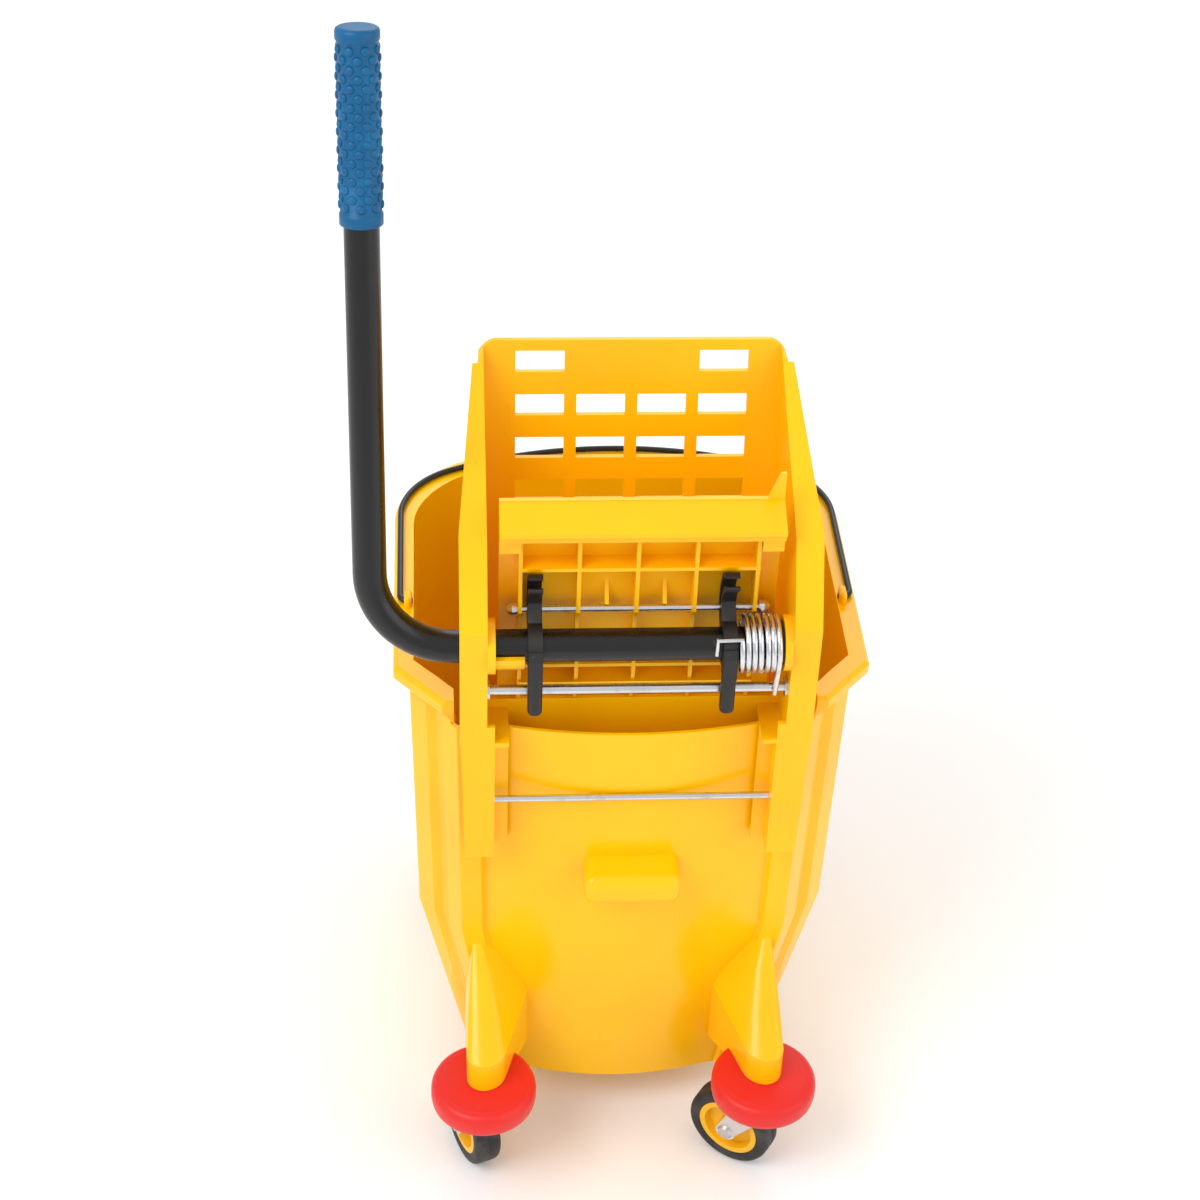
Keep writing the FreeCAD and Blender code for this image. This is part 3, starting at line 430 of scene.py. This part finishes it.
def addBucketShell():
    # the outline is carried up the walls, over the rim and down its skirt, and then given its wall
    mesh = bmesh.new()
    bucketFloor(mesh)
    loop = [edge for edge in mesh.edges if edge.is_boundary]
    rearPivot, rimPivot = bucket["pillarY"], bucket["rimPivotY"]
    z, half, frontY = bucket["floorZ"], bucket["half"], bucket["frontY"]
    for nextZ, nextHalf, nextFront in bucket["levels"] + bucket["rimSteps"]:
        pivotY = rimPivot if nextHalf > bucket["topHalf"] else rearPivot
        factors = (nextHalf / half, (nextFront - pivotY) / (frontY - pivotY), 1)
        loop = carriedOn(mesh, loop, (0, 0, nextZ - z), at(0, pivotY, 0), factors)
        if nextZ == bucket["fluteLevel"]:
            moveFlutes(mesh, loop, bucket["fluteDepth"])
        if nextZ == bucket["fluteEnd"]:
            moveFlutes(mesh, loop, -bucket["fluteDepth"])
        z, half, frontY = nextZ, nextHalf, nextFront
    cutSaddle(mesh)
    piece = addPiece("bucketShell", mesh, ["bucket_body"], angle=bucket["sharpAngle"])
    shell = piece.modifiers.new("Wall", "SOLIDIFY")
    shell.thickness = bucket["wall"]
    shell.offset = -1
    shell.use_even_offset = True
    roundEdges(piece, bucket["edge"], 2, bucket["sharpAngle"])


def cutSaddle(mesh):
    # the rear edge is cut down where the wringer sits
    half, level, depth = bucket["notchHalf"], bucket["saddleZ"], bucket["notchY"]
    for place, normal in ((at(half, 0, 0), (1, 0, 0)), (at(-half, 0, 0), (1, 0, 0)),
                          (at(0, 0, level), (0, 0, 1)), (at(0, depth, 0), (0, 1, 0))):
        geom = list(mesh.verts) + list(mesh.edges) + list(mesh.faces)
        bmesh.ops.bisect_plane(mesh, geom=geom, plane_co=place, plane_no=normal, dist=nearly)
    gone = []
    for face in mesh.faces:
        here = measured(face.calc_center_median())
        if abs(here.x) < half and here.y < depth and here.z > level:
            gone.append(face)
    bmesh.ops.delete(mesh, geom=gone, context="FACES")


leg = {
    "outline": ((76, 16), (103.6, -80.6), (131.6, -80.6), (131.6, 16)), "noseRound": 13.9, "noseSteps": 6,
    "footZ": 114.6, "webDrop": 40, "shoulderZ": 144, "mirrorY": 260, "edge": 0.0028, "apexInset": 8,
    "levels": ((162, 0.84, 0.68), (182, 0.54, 0.32), (200, 0.22, 0.08)),
}


def oneLeg(side, far):
    # a leg that rises from its round foot and narrows to a point on the wall
    def put(x, y, z):
        return at(x * side, leg["mirrorY"] - y if far else y, z)
    mesh = bmesh.new()
    outerX, wallY = leg["outline"][-1]
    base = mesh.faces.new([mesh.verts.new(put(x, y, leg["footZ"])) for x, y in leg["outline"]])
    roundPoints(mesh, [base.verts[1], base.verts[2]], leg["noseRound"], leg["noseSteps"])
    wallVerts = [vert for vert in mesh.verts if abs(vert.co.y - put(0, wallY, 0).y) < mm]
    bmesh.ops.translate(mesh, verts=wallVerts, vec=(0, 0, -leg["webDrop"] * mm))
    loop = carriedOn(mesh, list(mesh.edges), (0, 0, leg["shoulderZ"] - leg["footZ"]))
    rim = list({vert for edge in loop for vert in edge.verts})
    for vert in rim:
        vert.co.z = leg["shoulderZ"] * mm
    z, wide, deep = leg["shoulderZ"], 1.0, 1.0
    for nextZ, nextWide, nextDeep in leg["levels"]:
        pivot = put(outerX - leg["apexInset"], wallY, nextZ)
        loop = carriedOn(mesh, loop, (0, 0, nextZ - z), pivot, (nextWide / wide, nextDeep / deep, 1))
        z, wide, deep = nextZ, nextWide, nextDeep
    bmesh.ops.contextual_create(mesh, geom=loop)
    return mesh


def addLegs():
    mesh = bmesh.new()
    for side in (1, -1):
        for far in (False, True):
            taken(mesh, oneLeg(side, far))
    addPiece("bucketLegs", mesh, ["bucket_body"], angle=24, bevel=leg["edge"], segments=3)


rearGrip = {"low": (-36, -30, 277), "high": (41, 8, 303), "middleZ": 290, "rise": 8, "round": 0.007}


def addRearGrip():
    # the block on the rear wall, higher where it meets the wall
    mesh = bmesh.new()
    made = cornerBox(mesh, rearGrip["low"], rearGrip["high"])
    wallSide = [vert for vert in made if measured(vert.co).y > 0]
    top = [vert for vert in wallSide if measured(vert.co).z > rearGrip["middleZ"]]
    bmesh.ops.translate(mesh, verts=top, vec=(0, 0, rearGrip["rise"] * mm))
    roundBox(mesh, made, rearGrip["round"], 5)
    addPiece("rearGrip", mesh, ["bucket_body"], angle=50)


bailEar = {"x": 175.5, "y": 120, "z": (468, 482), "wide": 6.4, "long": 15, "round": 0.003}


def addBailEars():
    mesh = bmesh.new()
    for side in (1, -1):
        x, y, wide, long = bailEar["x"] * side, bailEar["y"], bailEar["wide"] / 2, bailEar["long"] / 2
        low, high = (x - wide, y - long, bailEar["z"][0]), (x + wide, y + long, bailEar["z"][1])
        roundBox(mesh, cornerBox(mesh, low, high), bailEar["round"], 3)
    addPiece("bailEars", mesh, ["bucket_body"], angle=50)


addBucketShell()
addLegs()
addRearGrip()
addBailEars()
print("bucket made")


bumper = {"z": 101.5, "steps": 64, "profile": (
    (5.05, -12.85), (37, -12.85), (40.8, -11.6), (43.2, -8.6), (43.9, -4), (43.9, 1.6), (43.5, 4.6),
    (42.3, 7.2), (40.4, 9.2), (38.0, 10.2), (36.4, 10.3), (35.8, 10.7), (34.6, 10.9), (26, 11.8),
    (17, 12.6), (5.05, 12.6), (5.05, -12.85))}
tyre = {"steps": 64, "profile": (
    (27.5, -10.6), (29.5, -11.1), (33.2, -11.5), (35.4, -11.2), (37.0, -9.9), (37.8, -8.0), (38.0, -6.2),
    (38.0, -0.9), (37.5, -0.4), (37.5, 0.4), (38.0, 0.9), (38.0, 6.2), (37.8, 8.0), (37.0, 9.9),
    (35.4, 11.2), (33.2, 11.5), (29.5, 11.1), (27.5, 10.6), (27.5, -10.6))}


def addBumpers():
    for corner in cornerNames:
        low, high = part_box("bumper_" + corner)
        mesh = bmesh.new()
        centre = Vector(((low.x + high.x) / 2, (low.y + high.y) / 2, bumper["z"] * mm))
        lathed(mesh, bumper["profile"], centre, (0, 0, 1), bumper["steps"])
        addPiece("bumperDisc." + corner, mesh, ["bumper_" + corner], angle=60)


def wheelAxis(corner):
    for joint in frame["joints"]:
        if joint["name"] == "spin_" + corner:
            return Vector(joint["pos_m"]), Vector(joint["axis"])


def addTyres():
    for corner in cornerNames:
        centre, axis = wheelAxis(corner)
        mesh = bmesh.new()
        lathed(mesh, tyre["profile"], centre, axis, tyre["steps"])
        addPiece("tread." + corner, mesh, ["tyre_" + corner], angle=50)


addBumpers()
addTyres()
print("casters made")


finger = {
    "leftX": -79, "rightX": 68, "y": (-20.8, -8.8), "z": (470, 531), "half": 5.7, "round": 0.0046,
    "cutZ": 505, "edge": 0.0014,
}


def addArm(name, nodeName, x):
    # the CAD arm down to just below the shaft, with a finger that is round on every side
    mesh = copied(nodeName)
    geom = list(mesh.verts) + list(mesh.edges) + list(mesh.faces)
    bmesh.ops.bisect_plane(mesh, geom=geom, plane_co=at(0, 0, finger["cutZ"]), plane_no=(0, 0, 1),
                           dist=nearly, clear_inner=True)
    low = (x - finger["half"], finger["y"][0], finger["z"][0])
    high = (x + finger["half"], finger["y"][1], finger["z"][1])
    rounded = bmesh.new()
    roundBox(rounded, cornerBox(rounded, low, high), finger["round"], 5)
    taken(mesh, rounded)
    addPiece(name, mesh, [nodeName], angle=35, bevel=finger["edge"], segments=3)


def wire(points, radius):
    # a round wire along a line of points
    curve = bpy.data.curves.new("path", "CURVE")
    curve.dimensions = "3D"
    curve.bevel_depth = radius
    curve.bevel_resolution = 4
    curve.use_fill_caps = True
    line = curve.splines.new("POLY")
    line.points.add(len(points) - 1)
    for spot, point in zip(line.points, points):
        spot.co = (*point, 1)
    holder = bpy.data.objects.new("path", curve)
    data = bpy.data.meshes.new_from_object(holder)
    mesh = bmesh.new()
    mesh.from_mesh(data)
    bpy.data.objects.remove(holder)
    bpy.data.curves.remove(curve)
    bpy.data.meshes.remove(data)
    return mesh


spring = {
    "wire": 0.00215, "coil": 20.9, "shaftZ": 525, "leverX": 76, "leverEndX": 91.3, "frameStartX": 92.3,
    "frameX": 105, "firstAngle": 135, "leverTurns": 3.225, "joinAngle": 1305, "frameTurns": 2.875,
    "stepsPerTurn": 40, "hook": (-18, -14), "leg": (9.7, -41),
}


def coilPoints(startX, stopX, firstAngle, turns):
    count = round(turns * spring["stepsPerTurn"])
    points = []
    for step in range(count + 1):
        share = step / count
        angle = math.radians(firstAngle + 360 * turns * share)
        across, up = spring["coil"] * math.cos(angle), spring["coil"] * math.sin(angle)
        points.append(at(startX + (stopX - startX) * share, across, spring["shaftZ"] + up))
    return points


def addSprings():
    # the halves look like one spring at rest, with room between them for the lever's travel
    leverHalf = coilPoints(spring["leverX"], spring["leverEndX"], spring["firstAngle"], spring["leverTurns"])
    corner = leverHalf[0] + Vector((spring["hook"][0], 0, 0)) * mm
    leverHalf = [corner + Vector((0, 0, spring["hook"][1])) * mm, corner] + leverHalf
    addPiece("springLeverHalf", wire(leverHalf, spring["wire"]), ["return_spring_lever_half"], angle=50)
    startX, stopX = spring["frameStartX"], spring["frameX"]
    frameHalf = coilPoints(startX, stopX, spring["joinAngle"], spring["frameTurns"])
    frameHalf.append(frameHalf[-1] + Vector((0, *spring["leg"])) * mm)
    addPiece("springFrameHalf", wire(frameHalf, spring["wire"]), ["return_spring_frame_half"], angle=50)


addArm("crankArmLeft", "crank_arm_left", finger["leftX"])
addArm("crankArmRight", "crank_arm_right", finger["rightX"])
addSprings()
print("arms and spring made")


grip = {
    "x": -202, "lean": 12.3, "low": 330, "top": 468, "shaftZ": 525, "bore": 12.7, "radius": 14.6,
    "collar": 15.5, "bumpRadius": 3.3, "bumpRise": 1.6, "columns": 8, "rowPitch": 6.4, "clear": 13,
    "steps": 56,
}


def addGrip():
    # a sleeve with a collar at each end and staggered rows of low domes between them
    lean = math.radians(grip["lean"])
    axis = Vector((0, math.sin(lean), math.cos(lean)))
    centre = at(grip["x"], 0, grip["shaftZ"])
    low, top, radius, collar = grip["low"], grip["top"], grip["radius"], grip["collar"]
    mesh = bmesh.new()
    lathed(mesh, [(grip["bore"], top - 8), (grip["bore"], low), (collar - 0.8, low), (collar, low + 0.8),
                  (collar, low + 8), (collar - 0.5, low + 9), (radius, low + 9.4), (radius, top - 9.4),
                  (collar - 0.5, top - 9), (collar, top - 8), (collar, top - 3), (collar - 0.6, top - 1.3),
                  (collar - 2.2, top - 0.3), (collar - 4, top), (0, top), (0, top - 8),
                  (grip["bore"], top - 8)], centre, axis, grip["steps"])
    rows = int((top - low - 2 * grip["clear"]) / grip["rowPitch"]) + 1
    start = low + grip["clear"] + (top - low - 2 * grip["clear"] - (rows - 1) * grip["rowPitch"]) / 2
    for row in range(rows):
        for column in range(grip["columns"]):
            angle = math.tau * (column + 0.5 * (row % 2)) / grip["columns"]
            turn = Matrix.Rotation(angle, 4, axis)
            outward = turn @ Vector((1, 0, 0))
            place = centre + (axis * (start + row * grip["rowPitch"]) + outward * radius) * mm
            dome = bmesh.ops.create_icosphere(mesh, subdivisions=2, radius=grip["bumpRadius"] * mm)
            made = dome["verts"]
            flat = grip["bumpRise"] / grip["bumpRadius"]
            bmesh.ops.scale(mesh, verts=made, vec=(flat, 1, 1))
            facing = Matrix((outward, axis.cross(outward), axis)).transposed()
            bmesh.ops.rotate(mesh, verts=made, cent=(0, 0, 0), matrix=facing)
            bmesh.ops.translate(mesh, verts=made, vec=place)
    addPiece("handGrip", mesh, ["lever_grip"], angle=50)


addGrip()
print("hand grip made")


studio = {
    "floorColour": tone(250, 250, 250), "floorSize": 14.0,
    "worldColour": tone(255, 255, 255), "worldStrength": 0.80,
    "keyPower": 42.0, "keySize": 1.6, "keyFrom": (-1.6, -1.3, 2.6),
    "fillPower": 16.0, "fillSize": 2.2, "fillFrom": (2.2, -1.4, 1.5),
    "rimPower": 20.0, "rimSize": 1.8, "rimFrom": (0.4, 2.4, 2.2),
}


def addFloor():
    mesh = bmesh.new()
    bmesh.ops.create_grid(mesh, x_segments=2, y_segments=2, size=studio["floorSize"] / 2)
    data = bpy.data.meshes.new("floor")
    mesh.to_mesh(data)
    mesh.free()
    floor = bpy.data.objects.new("floor", data)
    bpy.context.scene.collection.objects.link(floor)
    look = Look("floorPaint", **{"Specular IOR Level": 0.3})
    look.colour(look.mix(look.noise(3.0, 4.0) * 0.2, studio["floorColour"], tone(244, 244, 245)))
    look.roughness(look.noise(40.0, 4.0) * 0.15 + 0.5)
    data.materials.append(look.material)


def addLight(name, power, size, start):
    data = bpy.data.lights.new(name, "AREA")
    data.energy = power
    data.size = size
    lamp = bpy.data.objects.new(name, data)
    lamp.location = start
    lamp.rotation_euler = (Vector((0, 0, 0.45)) - Vector(start)).to_track_quat("-Z", "Y").to_euler()
    bpy.context.scene.collection.objects.link(lamp)


addFloor()
for lampName in ("key", "fill", "rim"):
    addLight(lampName, studio[lampName + "Power"], studio[lampName + "Size"], studio[lampName + "From"])
world = bpy.data.worlds.new("studio")
world.use_nodes = True
world.node_tree.nodes["Background"].inputs[0].default_value = studio["worldColour"]
world.node_tree.nodes["Background"].inputs[1].default_value = studio["worldStrength"]
bpy.context.scene.world = world
bpy.context.scene.view_settings.view_transform = "Standard"

camera = {
    "place": (-152.14, -1471.28, 1728.20), "yaw": 0.080, "pitch": 0.662, "roll": 0.039,
    "lens": 75.57, "shiftX": 0.0031, "shiftY": -0.0087,
}
lensData = bpy.data.cameras.new("camera")
lensData.sensor_width = 36
lensData.lens = camera["lens"]
lensData.shift_x = camera["shiftX"]
lensData.shift_y = camera["shiftY"]
eye = bpy.data.objects.new("camera", lensData)
yaw, pitch, roll = camera["yaw"], camera["pitch"], camera["roll"]
forward = Vector((math.sin(yaw) * math.cos(pitch), math.cos(yaw) * math.cos(pitch), -math.sin(pitch)))
level = Vector((math.cos(yaw), -math.sin(yaw), 0))
upward = level.cross(forward)
rightward = level * math.cos(roll) + upward * math.sin(roll)
upward = upward * math.cos(roll) - level * math.sin(roll)
turned = Matrix((rightward, upward, -forward)).transposed()
eye.matrix_world = Matrix.Translation(at(*camera["place"])) @ turned.to_4x4()
bpy.context.scene.collection.objects.link(eye)
bpy.context.scene.camera = eye
print("studio ready")
